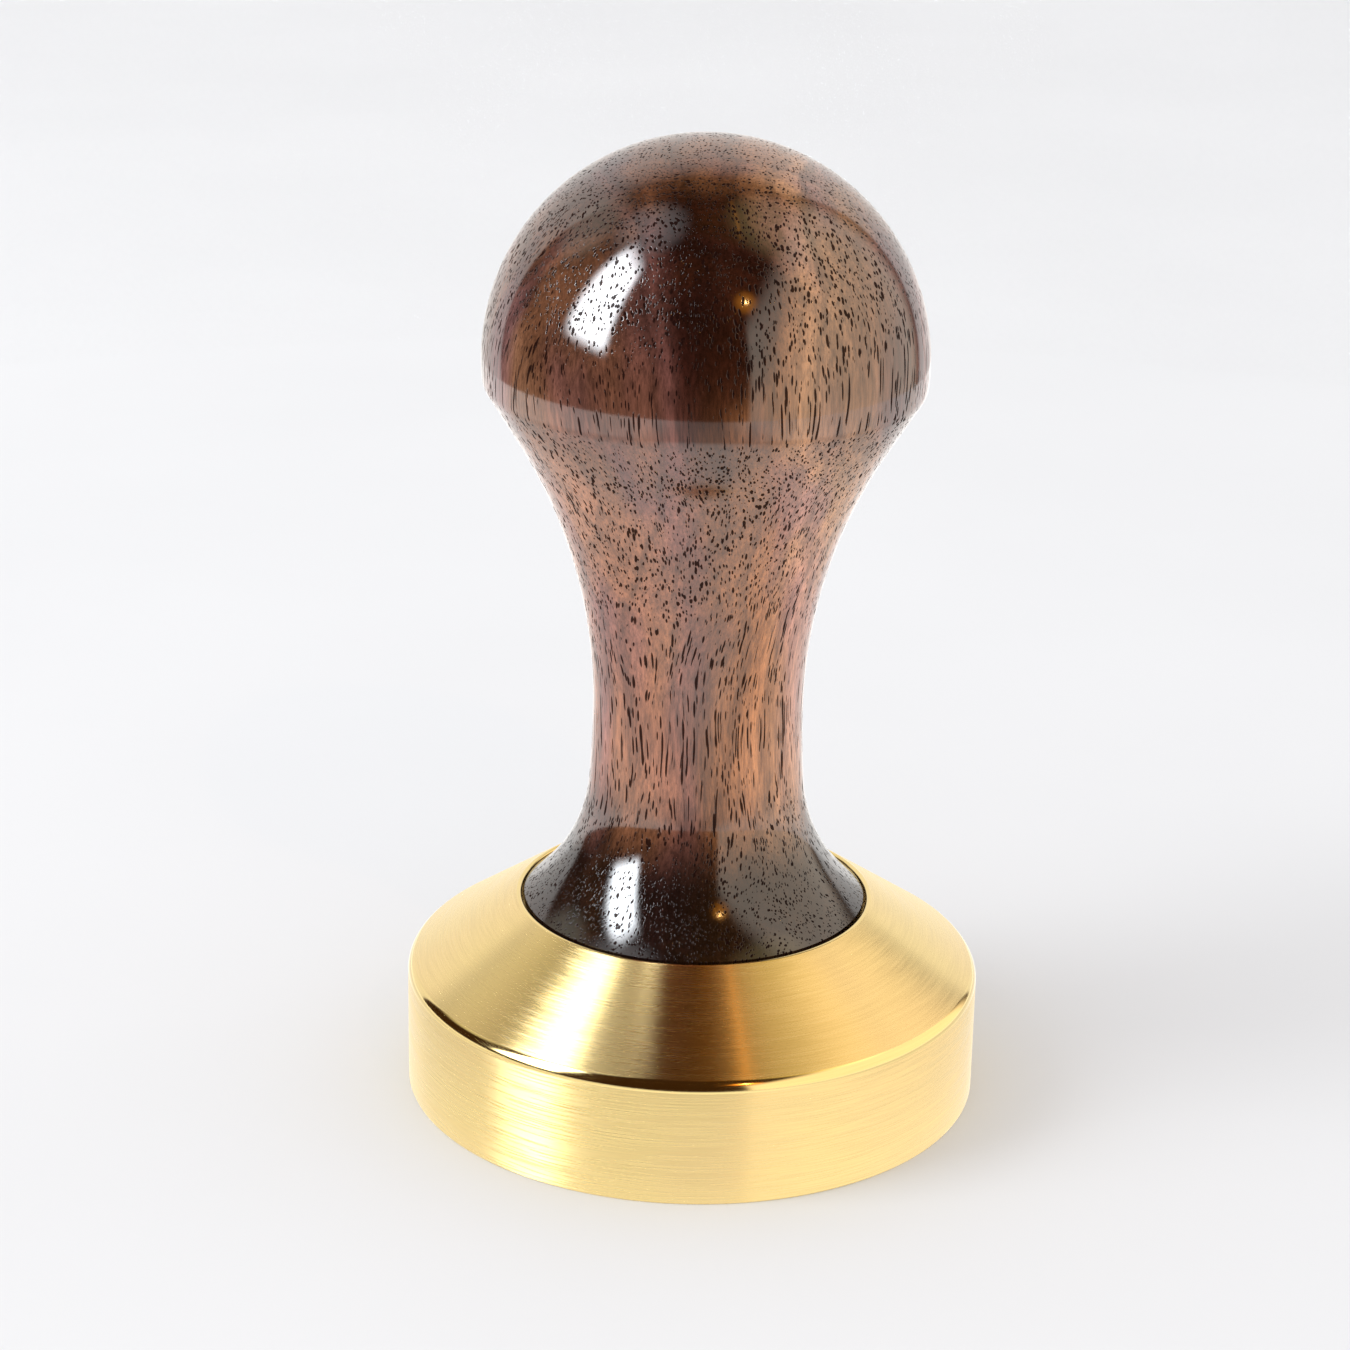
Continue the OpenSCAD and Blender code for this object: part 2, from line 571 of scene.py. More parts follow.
@dataclass(frozen=True)
class Walnut:
    """Lacquered walnut, with the grain running along Z and open pores."""

    name: str = "walnut_lacquered"
    dusk: Colour = (0.195, 0.083, 0.050)
    dark: Colour = (0.040, 0.011, 0.006)
    amber: Colour = (0.250, 0.106, 0.048)
    # The tan is partly the wood's own tone and partly painted reflection that lightens the right
    # side.
    tan: Colour = (0.460, 0.240, 0.135)
    rose: Colour = (0.275, 0.125, 0.080)
    pale: Colour = (0.480, 0.290, 0.210)
    mauve: Colour = (0.80, 0.72, 0.98)
    honey: Colour = (1.12, 1.02, 0.80)
    pore: Colour = (0.012, 0.004, 0.003)
    plank: float = 48.0
    pith: Place = (16.0, 64.0, 0.0)
    vessels: tuple[Point, ...] = ((0.75, 0.13), (2.0, 0.27), (2.7, 0.26))

    def material(self) -> Material:
        """Builds the material.

        Returns:
            The material.
        """
        made, w = new_material(self.name)
        place = in_millimetres(w)
        wavy = w.wandered(place, (0.03, 0.03, 0.022), 1.5, 9.0)
        colour, ring = self.figure(w, place, wavy)
        lean = w.split(w.node("ShaderNodeTexCoord").outputs["Normal"])[2]
        height = w.split(place)[2]
        # Faces that point up or down are darker, as end grain is. On top of that, painted shade
        # darkens the foot nearly to black below 37 mm, and painted light makes the wood lighter
        # below the ball and darker on it, by height.
        end = w.eased(w.sum("ABSOLUTE", lean), 0.35, 1.0, (1.0, 0.85))
        end = w.times(end, w.eased(height, 25.0, 37.0, (0.05, 1.0)))
        end = w.times(end, w.eased(height, 62.0, 80.0, (1.48, 0.76)))
        colour = w.shaded(colour, end)
        pores = self.pores(w, wavy, ring)
        fibre = w.noise(wavy, (3.6, 3.6, 0.30), 5.0, Roughness=0.75)
        colour = w.shaded(colour, w.eased(fibre, 0.28, 0.72, (0.54, 1.46)))
        colour = w.blend(w.times(pores, 0.92), colour, self.pore)
        grain = w.times(fibre, w.eased(height, 24.0, 34.0, (0.55, 0.14)))
        relief = w.sum("SUBTRACT", grain, pores)
        surfaced(
            w,
            Base_Color=colour,
            Roughness=w.eased(pores, 0.0, 1.0, (0.6, 0.9)),
            Specular_IOR_Level=0.0,
            Coat_Weight=w.eased(pores, 0.0, 1.0, (1.0, 0.05)),
            Coat_Roughness=0.07,
            Coat_IOR=1.7,
            Normal=w.bump(relief, 0.05 * MM, 0.8),
            Coat_Normal=w.bump(relief, 0.013 * MM, 0.6),
        )
        return made

    def figure(self, w: Wiring, place: Socket, wavy: Socket) -> tuple[Socket, Socket]:
        """Lays out the growth rings, the dark heart streak and a painted shade on the ball's left
        side.

        Args:
            w: The tree to build in.
            place: The place in millimetres.
            wavy: The same, along wavy grain.

        Returns:
            The wood's colour, and how open its pores are.
        """
        x, y, z = w.split(wavy)
        soft = w.noise(place, (0.10, 0.10, 0.035), 3.0)
        sway = w.times(w.sum("SUBTRACT", soft, 0.5), 10.0)
        across = w.sum("ADD", w.sum("ADD", x, w.times(y, 0.10)), sway)
        half = self.plank / 2
        spread = w.sum("DIVIDE", w.sum("ADD", across, half), self.plank, clamp=True)
        # The colours across the blank follow the wood's figure. The lighter tan on its right side
        # is also painted reflection of the bright room on that side.
        stops = (0.06, 0.18, 0.34, 0.56, 0.70, 0.88, 0.98)
        shades = (self.pale, self.rose, self.dusk, self.amber, self.tan, self.rose, self.pale)
        plain = w.ramp(spread, list(zip(stops, shades)))
        heart = w.eased(z, 74.0, 88.0, (0.435, 0.485))
        width = w.eased(z, 74.0, 88.0, (0.06, 0.105))
        offset = w.sum("ABSOLUTE", w.sum("SUBTRACT", spread, heart))
        streak = w.eased(w.sum("DIVIDE", offset, width), 1.5, 0.6)
        streak = w.times(streak, w.eased(z, 62.0, 82.0))
        streak = w.times(streak, w.eased(z, 96.4, 93.8))
        # Painted shade: the left side of the ball is darkened towards the dark colour.
        painted_ball_shade = w.eased(spread, 0.50, 0.36, (0.0, 0.38))
        painted_ball_shade = w.times(painted_ball_shade, w.eased(z, 66.0, 80.0))
        base = w.blend(w.sum("MAXIMUM", streak, painted_ball_shade), plain, self.dark)
        away = w.vector("MULTIPLY", w.vector("SUBTRACT", wavy, self.pith), (1.0, 1.0, 0.02))
        far = w.vector("LENGTH", away, output="Value")
        rings = w.noise(w.joined(far, 0.0, z), (0.55, 1.0, 0.004), 2.5, Roughness=0.6)
        bands = w.noise(w.joined(across, 0.0, z), (0.42, 1.0, 0.006), 3.0, Roughness=0.6)
        shade = w.eased(rings, 0.3, 0.7, (0.70, 1.22))
        shade = w.times(shade, w.eased(bands, 0.30, 0.70, (0.58, 1.32)))
        base = w.shaded(base, shade)
        hue = w.noise(wavy, (0.13, 0.13, 0.022), 2.0)
        tint = w.blend(w.eased(hue, 0.36, 0.62), self.mauve, self.honey)
        return w.blend(1.0, base, tint, "MULTIPLY"), rings

    def pores(self, w: Wiring, wavy: Socket, ring: Socket) -> Socket:
        """Bores the long vessels that show as dots on end grain and as dashes along it.

        Args:
            w: The tree to build in.
            wavy: The place in millimetres, along wavy grain.
            ring: How open the pores are at this place.

        Returns:
            1 in a pore and 0 outside.
        """
        spot = w.wandered(wavy, (0.16, 0.16, 0.07), 1.0, 3.0)
        gaps = w.noise(wavy, (1.6, 1.6, 0.16), 1.0)
        gaps = w.eased(gaps, 0.36, 0.52)
        crowd = w.eased(ring, 0.32, 0.66, (1.2, 0.75))
        cell = {"voronoi_dimensions": "2D", "Vector": spot}
        found = None
        for per_mm, radius in self.vessels:
            cells = w.node("ShaderNodeTexVoronoi", Scale=per_mm, **cell)
            chance = w.node("ShaderNodeSeparateColor", Color=cells.outputs["Color"]).outputs[0]
            wide = w.eased(chance, 0.05, 0.7, (0.35 * radius, radius))
            wide = w.times(wide, crowd, gaps)
            hole = w.eased(w.sum("SUBTRACT", wide, cells.outputs["Distance"]), 0.0, 0.07)
            found = hole if found is None else w.sum("MAXIMUM", found, hole)
        return found


@dataclass(frozen=True)
class TurnedMetal:
    """Metal with the fine circular lines that a lathe or a brush leaves round the Z axis."""

    name: str
    colour: Colour
    tint: Colour
    roughness: float
    lines: float
    anisotropy: float
    relief: float = 0.004
    line_height: float = 0.16
    blotches: float = 0.0

    def material(self) -> Material:
        """Builds the material.

        Returns:
            The material.
        """
        made, w = new_material(self.name)
        place = in_millimetres(w)
        fine = lathe_lines(w, place, 0.22, self.line_height)
        broad = lathe_lines(w, place, 0.35, self.line_height * 4.5)
        mixed = w.sum("ADD", w.times(fine, 0.75), w.times(broad, 0.25))
        streak = w.eased(mixed, 0.3, 0.7, (-0.5, 0.5))
        shade = w.sum("ADD", 1.0, w.times(streak, self.lines))
        cloud = w.noise(place, (0.06, 0.06, 0.06), 3.0)
        colour = w.blend(w.eased(cloud, 0.35, 0.7, (0.0, self.blotches)), self.colour, self.tint)
        colour = w.shaded(colour, shade)
        rough = w.sum("ADD", w.times(streak, self.lines * 0.5), self.roughness)
        settings = {}
        if self.anisotropy:
            tangent = w.node("ShaderNodeTangent", direction_type="RADIAL", axis="Z")
            settings = {"Tangent": tangent.outputs[0], "Anisotropic_Rotation": QUARTER_TURN}
        surfaced(
            w,
            Base_Color=colour,
            Metallic=1.0,
            Roughness=rough,
            Anisotropic=self.anisotropy,
            Normal=w.bump(mixed, self.relief * MM),
            **settings,
        )
        return made


@dataclass(frozen=True)
class PaleSheet:
    """The plain pale paper that the tamper stands on."""

    name: str = "pale_sheet"
    colour: Colour = (0.815, 0.815, 0.82)

    def material(self) -> Material:
        """Builds the material.

        Returns:
            The material.
        """
        made, w = new_material(self.name)
        place = w.node("ShaderNodeTexCoord").outputs["Object"]
        cloud = w.noise(place, (9.0, 9.0, 9.0), 4.0)
        colour = w.shaded(self.colour, w.eased(cloud, 0.3, 0.7, (0.985, 1.01)))
        surfaced(w, Base_Color=colour, Roughness=0.9, Specular_IOR_Level=0.1)
        return made


# ---------------- the tamper


@dataclass
class BrassBase:
    """The brass piston: flat face, straight wall, polished rim, cone and recess."""

    radius: float = 29.0 * MM
    rim_height: float = 12.6 * MM
    rim_round: float = 1.5 * MM
    tip_height: float = 20.45 * MM
    lip_round: float = 0.35 * MM
    edge_round: float = 0.25 * MM
    recess_radius: float = 17.45 * MM
    floor_height: float = 18.0 * MM
    hole_radius: float = 3.97 * MM
    hole_end: float = 6.5 * MM
    lead: float = 0.6 * MM
    steps: int = 384
    rim_start: float = 27.0 * MM
    rim_rise: Point = (0.03, 0.80)
    lip_low: float = 19.5 * MM
    cone_rise: float = 0.5

    def outline(self) -> Outline:
        """Draws the outline, from the tamping face round to the drilled hole.

        Returns:
            Its points in order.
        """
        slope = math.atan2(self.tip_height - self.rim_height, self.radius - self.recess_radius)
        lean = 90 - math.degrees(slope)
        rim_tangent = self.rim_round * math.tan(math.radians(lean) / 2)
        lip_tangent = self.lip_round * math.tan((math.pi / 2 + slope) / 2)
        edge = (self.radius - self.edge_round, self.edge_round)
        rim = (self.radius - self.rim_round, self.rim_height - rim_tangent)
        lip = (self.recess_radius + self.lip_round, self.tip_height - lip_tangent)
        tip = self.hole_radius / math.tan(DRILL_POINT)
        return [
            (0.0, 0.0),
            (self.radius / 2, 0.0),
            *arc(edge, self.edge_round, -90, 0, 15),
            *[(self.radius, rim[1] * share) for share in (0.25, 0.5, 0.75)],
            *arc(rim, self.rim_round, 0, lean, 3),
            *self.cone(rim, lip, lean),
            *arc(lip, self.lip_round, lean, 180, 8),
            (self.recess_radius, self.floor_height),
            (self.hole_radius + self.lead, self.floor_height),
            (self.hole_radius, self.floor_height - self.lead),
            (self.hole_radius, self.hole_end),
            (0.0, self.hole_end - tip),
        ]

    def cone(self, rim: Point, lip: Point, lean: float) -> Outline:
        """Gives a few points along the cone, so that its faces stay even.

        Args:
            rim: The centre of the rim's rounding.
            lip: The centre of the lip's rounding.
            lean: The direction of the cone's normal, in degrees from +X.

        Returns:
            The points between the two roundings.
        """
        away = (math.cos(math.radians(lean)), math.sin(math.radians(lean)))
        low = (rim[0] + self.rim_round * away[0], rim[1] + self.rim_round * away[1])
        high = (lip[0] + self.lip_round * away[0], lip[1] + self.lip_round * away[1])
        shares = (0.2, 0.4, 0.6, 0.8)
        return [(low[0] + (high[0] - low[0]) * s, low[1] + (high[1] - low[1]) * s) for s in shares]

    def build(self, brushed: Material, faced: Material, polished: Material) -> None:
        """Turns the base and gives each of its surfaces its finish.

        Args:
            brushed: The finish of the wall and the tamping face.
            faced: The finish of the cone and the recess.
            polished: The finish of the rim and the lip.
        """
        piece = turned("brass_base", self.outline(), self.steps)
        dressed(piece, brushed, faced, polished)
        for face in piece.data.polygons:
            out = math.hypot(face.center.x, face.center.y)
            rise = face.normal.z
            height = face.center.z
            rim = out > self.rim_start and self.rim_rise[0] < rise < self.rim_rise[1]
            lip = out < self.recess_radius + 2 * self.lip_round and height > self.lip_low
            cone = height > self.rim_height and rise > self.cone_rise
            inner = out < self.recess_radius and height > MM
            face.material_index = 2 if rim or lip else 1 if cone or inner else 0
        finished(piece, "base", Body.BASE)


@dataclass
class SetScrew:
    """The M8 set screw that is locked in the base and carries the handle."""

    thread: MetricThread = field(default_factory=MetricThread)
    low: float = 9.0 * MM
    length: float = 20.0 * MM
    lead: float = 0.6 * MM
    across_flats: float = 4.0 * MM
    socket_depth: float = 4.0 * MM

    def build(self, steel: Material) -> None:
        """Cuts the thread, chamfers both ends and broaches the hexagon socket.

        Args:
            steel: Its finish.
        """
        high = self.low + self.length
        piece = self.thread.rod("steel_stud", self.low - MM, high + MM)
        r = self.thread.radius
        blank = [
            (0.0, self.low),
            (r - self.lead, self.low),
            (r + MM, self.low + self.lead + MM),
            (r + MM, high - self.lead - MM),
            (r - self.lead, high),
            (0.0, high),
        ]
        carved(piece, turned("blank", blank, 96), "INTERSECT")
        bpy.ops.mesh.primitive_cylinder_add(
            vertices=6,
            radius=self.across_flats / 2 / math.cos(math.pi / 6),
            depth=2 * self.socket_depth,
            location=(0, 0, high),
        )
        carved(piece, bpy.context.object)
        bpy.ops.object.shade_smooth_by_angle(angle=math.radians(THREAD_SMOOTH))
        dressed(piece, steel)
        finished(piece, "stud", Body.BASE)


@dataclass
class ShimWasher:
    """The thin ground washer between the recess floor and the insert."""

    inner: float = 4.15 * MM
    outer: float = 8.0 * MM
    low: float = 18.0 * MM
    thickness: float = 1.0 * MM
    edge: float = 0.1 * MM

    def build(self, steel: Material) -> None:
        """Turns the washer with its four edges broken.

        Args:
            steel: Its finish.
        """
        high, e = self.low + self.thickness, self.edge
        outline = [
            (self.inner, self.low + e),
            (self.inner + e, self.low),
            (self.outer - e, self.low),
            (self.outer, self.low + e),
            (self.outer, high - e),
            (self.outer - e, high),
            (self.inner + e, high),
            (self.inner, high - e),
            (self.inner, self.low + e),
        ]
        piece = turned("shim_washer", outline, 128)
        dressed(piece, steel)
        finished(piece, "washer", Body.WASHER)


@dataclass
class FlangedInsert:
    """The brass insert in the handle's foot, tapped to run on the stud."""

    thread: MetricThread = field(default_factory=MetricThread)
    low: float = 19.0 * MM
    length: float = 12.0 * MM
    body_radius: float = 6.0 * MM
    flange_radius: float = 9.0 * MM
    flange_thickness: float = 1.5 * MM
    play: float = 0.05 * MM
    lead: float = 0.6 * MM
    slot_width: float = 2.0 * MM
    slot_depth: float = 1.0 * MM
    edge: float = 0.15 * MM
    grooves: int = 5
    groove_start: float = 1.2 * MM
    groove_step: float = 1.7 * MM
    groove_depth: float = 0.35 * MM

    def build(self, brass: Material) -> None:
        """Turns the insert, taps it and mills the driver slot across its flange.

        Args:
            brass: Its finish.
        """
        high = self.low + self.length
        drill = self.thread.radius - THREAD_DEPTH * self.thread.pitch - 0.1 * MM
        mouth = self.thread.radius + self.play + self.lead
        flange_top = self.low + self.flange_thickness
        grooves = []
        for number in range(self.grooves):
            z = flange_top + self.groove_start + number * self.groove_step
            grooves += [
                (self.body_radius, z),
                (self.body_radius - self.groove_depth, z + 0.3 * MM),
                (self.body_radius - self.groove_depth, z + 0.7 * MM),
                (self.body_radius, z + 1.0 * MM),
            ]
        outline = [
            (mouth, self.low),
            (self.flange_radius - self.edge, self.low),
            (self.flange_radius, self.low + self.edge),
            (self.flange_radius, flange_top),
            (self.body_radius, flange_top),
            *grooves,
            (self.body_radius, high - self.lead),
            (self.body_radius - self.lead, high),
            (drill, high),
            (drill, self.low + (mouth - drill)),
            (mouth, self.low),
        ]
        piece = turned("flanged_insert", outline, 128)
        tap = self.thread.rod("tap", self.low - 2 * MM, high + 2 * MM, self.play)
        carved(piece, tap)
        bpy.ops.mesh.primitive_cube_add(size=1.0, location=(0, 0, self.low))
        cutter = bpy.context.object
        size = (4 * self.flange_radius, self.slot_width, 2 * self.slot_depth)
        bpy.ops.transform.resize(value=size)
        bpy.ops.object.transform_apply(location=True, rotation=True, scale=True)
        carved(piece, cutter)
        bpy.ops.object.shade_smooth_by_angle(angle=math.radians(THREAD_SMOOTH))
        dressed(piece, brass)
        finished(piece, "threaded_insert", Body.HANDLE)


@dataclass
class WalnutHandle:
    """The turned handle: ball, shoulder, taper, neck, flare and foot."""

    height: float = 97.6 * MM
    ball_radius: float = 21.6 * MM
    shoulder_round: float = 2.3 * MM
    taper_angle: float = 31.5
    hollow_radius: float = 53.4 * MM
    neck_radius: float = 10.45 * MM
    neck_height: float = 40.6 * MM
    stem_radius: float = 106.0 * MM
    flare_radius: float = 17.7 * MM
    foot_radius: float = 17.2 * MM
    foot_top: float = 20.15 * MM
    foot_low: float = 19.0 * MM
    foot_round: float = 0.3 * MM
    bore_radius: float = 5.95 * MM
    bore_end: float = 31.5 * MM
    counterbore_radius: float = 9.1 * MM
    counterbore_top: float = 20.5 * MM
    chamfer: float = 0.2 * MM
    steps: int = 320

    def outline(self) -> Outline:
        """Draws the outline, from the end of the insert's hole round to the top of the ball.

        Returns:
            Its points in order.
        """
        ball = (0.0, self.height - self.ball_radius)
        hollow = (self.neck_radius + self.hollow_radius, self.neck_height)
        stem = (self.neck_radius + self.stem_radius, self.neck_height)
        foot = (self.foot_radius, self.foot_top)
        flare = upper_crossing(foot, self.flare_radius, stem, self.stem_radius - self.flare_radius)
        shoulder = self.shoulder_centre(ball, hollow)
        stem_turn = heading(stem, flare)
        stem_turn -= 360 * (stem_turn > 0)
        ball_turn = heading(ball, shoulder)
        edge = (self.foot_radius - self.foot_round, self.foot_low + self.foot_round)
        point = self.bore_radius / math.tan(DRILL_POINT)
        return [
            (0.0, self.bore_end + point),
            (self.bore_radius, self.bore_end),
            (self.bore_radius, self.counterbore_top),
            (self.counterbore_radius, self.counterbore_top),
            (self.counterbore_radius, self.foot_low + self.chamfer),
            (self.counterbore_radius + self.chamfer, self.foot_low),
            *arc(edge, self.foot_round, -90, 0, 15),
            *arc(flare, self.flare_radius, heading(flare, foot), stem_turn, 2),
            *arc(stem, self.stem_radius, stem_turn, -180, 0.6),
            *arc(hollow, self.hollow_radius, 180, 180 - self.taper_angle, 1),
            *arc(shoulder, self.shoulder_round, -self.taper_angle, ball_turn, 4),
            *arc(ball, self.ball_radius, ball_turn, 90, 2),
        ]

    def shoulder_centre(self, ball: Point, hollow: Point) -> Point:
        """Finds the centre of the tight turn between the taper and the ball.

        Args:
            ball: The ball's centre.
            hollow: The centre of the hollow above the neck.

        Returns:
            The centre of an arc that touches both the straight taper and the ball.
        """
        a = math.radians(self.taper_angle)
        up, inward = Vector((math.sin(a), math.cos(a))), Vector((-math.cos(a), math.sin(a)))
        start = Vector(hollow) + (self.hollow_radius + self.shoulder_round) * inward
        reach = start - Vector(ball)
        along = reach.dot(up)
        inside = (self.ball_radius - self.shoulder_round) ** 2
        centre = start + (math.sqrt(along * along - reach.length_squared + inside) - along) * up
        return (centre.x, centre.y)

    def build(self, walnut: Material) -> None:
        """Turns the handle and gives it its finish.

        Args:
            walnut: That finish.
        """
        piece = turned("walnut_handle", self.outline(), self.steps)
        dressed(piece, walnut)
        finished(piece, "handle", Body.HANDLE)


# ---------------- the studio


@dataclass(frozen=True)
class Pane:
    """A flat bright area in the room, seen from the tamper through one of its sides.

    The two spans are across / away and up / away: the tangents of the angles at which its
    edges stand.
    """

    side: Place
    across: Point
    up: Point
    colour: Colour
    strength: float
    edge: Point = (0.06, 0.06)
    top_fade: float = 0.0

    def glow(self, w: Wiring, direction: Socket) -> Socket:
        """Gives the light that comes from the pane in a direction.

        Args:
            w: The world's tree.
            direction: The direction looked in.

        Returns:
            Its colour.
        """
        x, y, z = w.split(direction)
        along, sideways = (x, y) if self.side[0] else (y, x)
        away = w.times(along, self.side[0] + self.side[1])
        near = w.sum("MAXIMUM", away, 0.001)
        u, v = w.sum("DIVIDE", sideways, near), w.sum("DIVIDE", z, near)
        fade = max(self.top_fade, self.edge[1])
        masks = (
            w.eased(u, self.across[0] - self.edge[0], self.across[0] + self.edge[0]),
            w.eased(u, self.across[1] + self.edge[0], self.across[1] - self.edge[0]),
            w.eased(v, self.up[0] - self.edge[1], self.up[0] + self.edge[1]),
            w.eased(v, self.up[1] + fade, self.up[1] - self.edge[1]),
            w.eased(away, 0.001, 0.02),
        )
        light = w.times(self.strength, *masks)
        return w.vector("MULTIPLY", w.joined(light, light, light), self.colour)


@dataclass(frozen=True)
class Haze:
    """A soft round glow in the room, in one direction.

    The reach holds the cosines of the angles at which the glow starts and is full. A glow
    with a slit is cut down to a narrow strip, square to its face.
    """

    towards: Place
    colour: Colour
    reach: Point
    face: Place = (0, 0, 0)
    slit: float = 0.0

    def glow(self, w: Wiring, direction: Socket) -> Socket:
        """Gives the light that comes from the glow in a direction.

        Args:
            w: The world's tree.
            direction: The direction looked in.

        Returns:
            Its colour.
        """
        near = w.vector("DOT_PRODUCT", direction, self.towards, output="Value")
        share = w.eased(near, *self.reach)
        if self.slit:
            off = w.vector("DOT_PRODUCT", direction, self.face, output="Value")
            strip = w.eased(w.sum("ABSOLUTE", off), self.slit, 0.0)
            share = w.times(share, strip)
        return w.vector("MULTIPLY", w.joined(share, share, share), self.colour)


@dataclass(frozen=True)
class Room:
    """What polished surfaces mirror: a dim room with a window, a pale wall and a backdrop."""

    dim: Colour = (0.050, 0.022, 0.008)
    hazes: tuple[Haze, ...] = (
        Haze((-0.407, -0.014, 0.914), (1.00, 1.02, 1.04), (0.947, 0.998)),
        Haze((-0.656, 0.349, 0.669), (0.85, 0.82, 0.66), (0.95, 1.0)),
        Haze((0.434, 0.061, 0.899), (0.88, 0.72, 0.34), (0.925, 1.0)),
        Haze((0.160, -0.040, 0.986), (0.12, 0.05, 0.00), (0.955, 1.0)),
        Haze(
            (0.190, 0.020, 0.981), (2.60, 0.85, 0.04), (0.968, 1.0), (0.951, 0.244, -0.187), 0.012
        ),
        Haze((0.0, 0.0, -1.0), (1.15, 1.13, 1.10), (0.35, 0.65)),
        Haze((0.318, -0.670, 0.670), (2.60, 0.85, 0.05), (0.992, 1.0)),
    )
    panes: tuple[Pane, ...] = (
        Pane((-1, 0, 0), (-0.72, -0.20), (0.26, 1.12), (0.90, 0.95, 1.0), 24.0, (0.1, 0.1), 0.75),
        Pane((1, 0, 0), (-2.40, 0.92), (-0.9, 1.15), (1.0, 0.88, 0.74), 1.60, (0.22, 0.10), 0.80),
        Pane((0, 1, 0), (-1.33, 0.88), (-0.9, 0.75), (1.0, 1.0, 0.98), 1.12, (0.05, 0.05), 1.2),
    )

    def light(self, w: Wiring, direction: Socket) -> Socket:
        """Gives the room's light in a direction.

        Args:
            w: The world's tree.
            direction: The direction looked in.

        Returns:
            Its colour.
        """
        total = w.vector("ADD", self.dim, (0.0, 0.0, 0.0))
        for source in (*self.hazes, *self.panes):
            total = w.vector("ADD", total, source.glow(w, direction))
        return total


@dataclass
class TableGlow:
    """The lit table top as the metal and the lacquer mirror it."""

    radius: float = 285 * MM
    hole: float = 29.1 * MM
    near: float = 1.42
    beside: float = 1.00
    far: float = 1.62
    shade: float = 1.07

    def build(self) -> None:
        """Lays a glowing ring round the base that only shows in reflections."""
        bpy.ops.object.select_all(action="DESELECT")
        bpy.ops.mesh.primitive_circle_add(vertices=96, radius=self.hole, fill_type="NOTHING")
        sheet = bpy.context.object
        sheet.name = sheet.data.name = "table_glow"
        bpy.ops.object.mode_set(mode="EDIT")
        bpy.ops.mesh.select_all(action="SELECT")
        bpy.ops.mesh.extrude_region_move()
        grow = self.radius / self.hole
        bpy.ops.transform.resize(value=(grow, grow, 1.0), center_override=(0.0, 0.0, 0.0))
        bpy.ops.object.mode_set(mode="OBJECT")
        made, w = new_material("table_glow")
        place = w.node("ShaderNodeTexCoord").outputs["Object"]
        x, y, _ = w.split(place)
        reach = w.vector("LENGTH", place, output="Value")
        front = w.eased(y, 0.02, -0.12)
        middle = w.eased(w.sum("ABSOLUTE", x), 0.13, 0.03)
        dip = w.times(front, middle, self.shade)
        far = w.sum("SUBTRACT", self.far, dip)
        out = w.eased(reach, 0.08, 0.17)
        near = w.eased(w.sum("ABSOLUTE", x), 0.075, 0.025, (self.beside, self.near))
        level = w.sum("ADD", near, w.times(out, w.sum("SUBTRACT", far, near)))
        glow = w.node("ShaderNodeEmission", Color=(1.0, 0.985, 0.96, 1.0), Strength=level)
        w.node("ShaderNodeOutputMaterial", Surface=glow.outputs[0])
        sheet.data.materials.append(made)
        for rays in ("camera", "diffuse", "shadow", "transmission", "volume_scatter"):
            setattr(sheet, f"visible_{rays}", False)


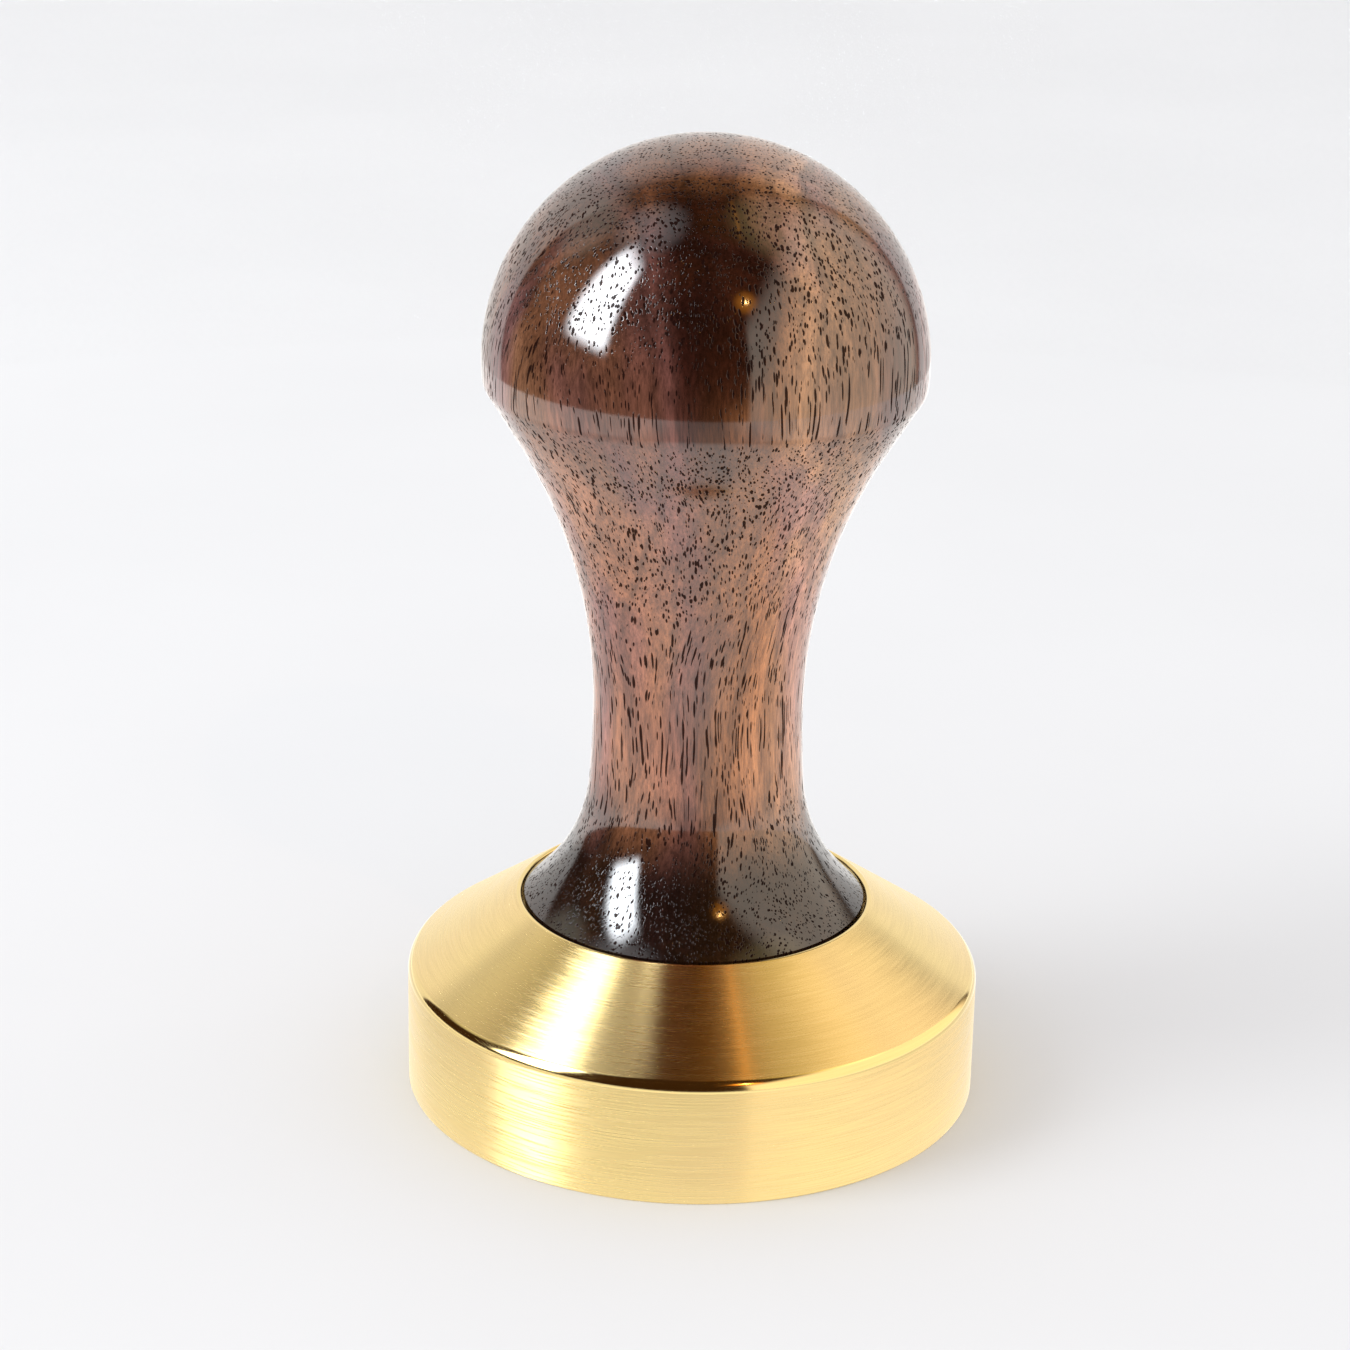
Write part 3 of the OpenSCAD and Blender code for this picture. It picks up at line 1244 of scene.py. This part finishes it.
@dataclass
class Studio:
    """The camera, the pale floor, the window light and the room that the metal mirrors."""

    distance: float = 355.4 * MM
    elevation: float = 19.65
    target_height: float = 50.0 * MM
    pan: float = -0.376
    tilt: float = 0.99
    roll: float = -1.295
    lens: float = 96.0
    sensor: float = 36.0
    nearest: float = 0.01
    floor_size: float = 6.0
    air: Colour = (0.985, 0.985, 1.0)
    air_strength: float = 0.945
    beyond: Colour = (0.90, 0.90, 0.90)

    def build(self) -> None:
        """Sets up everything round the tamper."""
        self.camera()
        self.floor()
        self.world()
        TableGlow().build()
        self.lamp("window_light", (-1.15, -0.42, 0.76), (0.75, 1.1), (0.93, 0.97, 1.0), 9.6)
        self.lamp("warm_lamp", (0.38, -0.80, 0.88), (0.026, 0.026), (1.0, 0.55, 0.18), 0.30)
        bpy.data.objects["window_light"].visible_glossy = False
        bpy.context.scene.view_settings.view_transform = "Standard"

    def camera(self) -> None:
        """Places the camera at the tamper's front, a little above it."""
        e = math.radians(self.elevation)
        forward = Vector((0, math.cos(e), -math.sin(e)))
        right = Vector((1, 0, 0))
        axes = Matrix((right, right.cross(forward), -forward))
        pan = Matrix.Rotation(math.radians(self.pan), 3, "Y")
        tilt = Matrix.Rotation(math.radians(self.tilt), 3, "X")
        roll = Matrix.Rotation(math.radians(self.roll), 3, "Z")
        place = (roll @ tilt @ pan @ axes).transposed().to_4x4()
        place.translation = Vector((0, 0, self.target_height)) - self.distance * forward
        bpy.ops.object.select_all(action="DESELECT")
        bpy.ops.object.camera_add()
        camera = bpy.context.object
        camera.matrix_world = place
        camera.data.sensor_width = self.sensor
        camera.data.lens = self.lens
        camera.data.clip_start = self.nearest
        bpy.context.scene.camera = camera

    def floor(self) -> None:
        """Lays the pale sheet."""
        bpy.ops.object.select_all(action="DESELECT")
        bpy.ops.mesh.primitive_plane_add(size=self.floor_size, location=(0, 0, 0))
        sheet = bpy.context.object
        sheet.name = sheet.data.name = "pale_floor"
        sheet.data.materials.append(PaleSheet().material())
        sheet.visible_glossy = False

    def world(self) -> None:
        """Fills the air with pale light, and lets polished surfaces see the dim room."""
        world = bpy.data.worlds.new("studio")
        bpy.context.scene.world = world
        world.use_nodes = True
        world.cycles.sampling_method = "NONE"
        w = Wiring(world.node_tree)
        path = w.node("ShaderNodeLightPath")
        direct = w.sum("SUBTRACT", 1.0, path.outputs["Diffuse Depth"], clamp=True)
        mirrored = w.times(path.outputs["Is Glossy Ray"], direct)
        direction = w.node("ShaderNodeTexCoord").outputs["Generated"]
        soft = w.node("ShaderNodeBackground", Color=(*self.air, 1.0), Strength=self.air_strength)
        dim = w.node("ShaderNodeBackground", Color=Room().light(w, direction), Strength=1.0)
        pale = w.node("ShaderNodeBackground", Color=(*self.beyond, 1.0), Strength=1.0)
        first = w.tree.nodes.new("ShaderNodeMixShader")
        second = w.tree.nodes.new("ShaderNodeMixShader")
        for mix, share, under, over in (
            (first, mirrored, soft, dim),
            (second, path.outputs["Is Camera Ray"], first, pale),
        ):
            w.feed(mix.inputs[0], share)
            w.feed(mix.inputs[1], under.outputs[0])
            w.feed(mix.inputs[2], over.outputs[0])
        w.node("ShaderNodeOutputWorld", Surface=second.outputs[0])

    def lamp(self, name: str, place: Place, size: Point, colour: Colour, power: float) -> None:
        """Hangs one area light, turned towards the tamper.

        Args:
            name: Its name.
            place: Its centre.
            size: Its width and height.
            colour: Its colour.
            power: Its power in watts.
        """
        bpy.ops.object.select_all(action="DESELECT")
        bpy.ops.object.light_add(type="AREA", location=place)
        light = bpy.context.object
        light.name = light.data.name = name
        light.data.shape = "RECTANGLE"
        light.data.size, light.data.size_y = size
        light.data.color = colour
        light.data.energy = power
        light.rotation_mode = "QUATERNION"
        away = Vector(place) - Vector((0, 0, self.target_height))
        light.rotation_quaternion = away.to_track_quat("Z", "Y")


def main() -> None:
    """Builds the studio and the tamper's pieces in order."""
    Studio().build()
    brushed = TurnedMetal("brass_brushed", BRASS, BLUSH, 0.29, 0.24, 1.0, 0.006, blotches=0.25)
    faced = TurnedMetal("brass_faced", BRASS, BLUSH, 0.26, 0.14, 1.0, blotches=0.25)
    polished = TurnedMetal("brass_polished", BRASS, BLUSH, 0.12, 0.08, 0.5, 0.001)
    dull = (0.72, 0.53, 0.20)
    machined = TurnedMetal("brass_machined", dull, BLUSH, 0.28, 0.12, 0.4, line_height=0.3)
    bright, dark = (0.46, 0.46, 0.47), (0.40, 0.38, 0.35)
    steel = TurnedMetal("stud_steel", bright, dark, 0.30, 0.10, 0.0, blotches=0.6)
    bright, dark = (0.62, 0.62, 0.63), (0.55, 0.54, 0.52)
    ground = TurnedMetal("shim_steel", bright, dark, 0.24, 0.10, 0.5, blotches=0.4)
    BrassBase().build(brushed.material(), faced.material(), polished.material())
    SetScrew().build(steel.material())
    ShimWasher().build(ground.material())
    WalnutHandle().build(Walnut().material())
    FlangedInsert().build(machined.material())


if __name__ == "__main__":
    main()
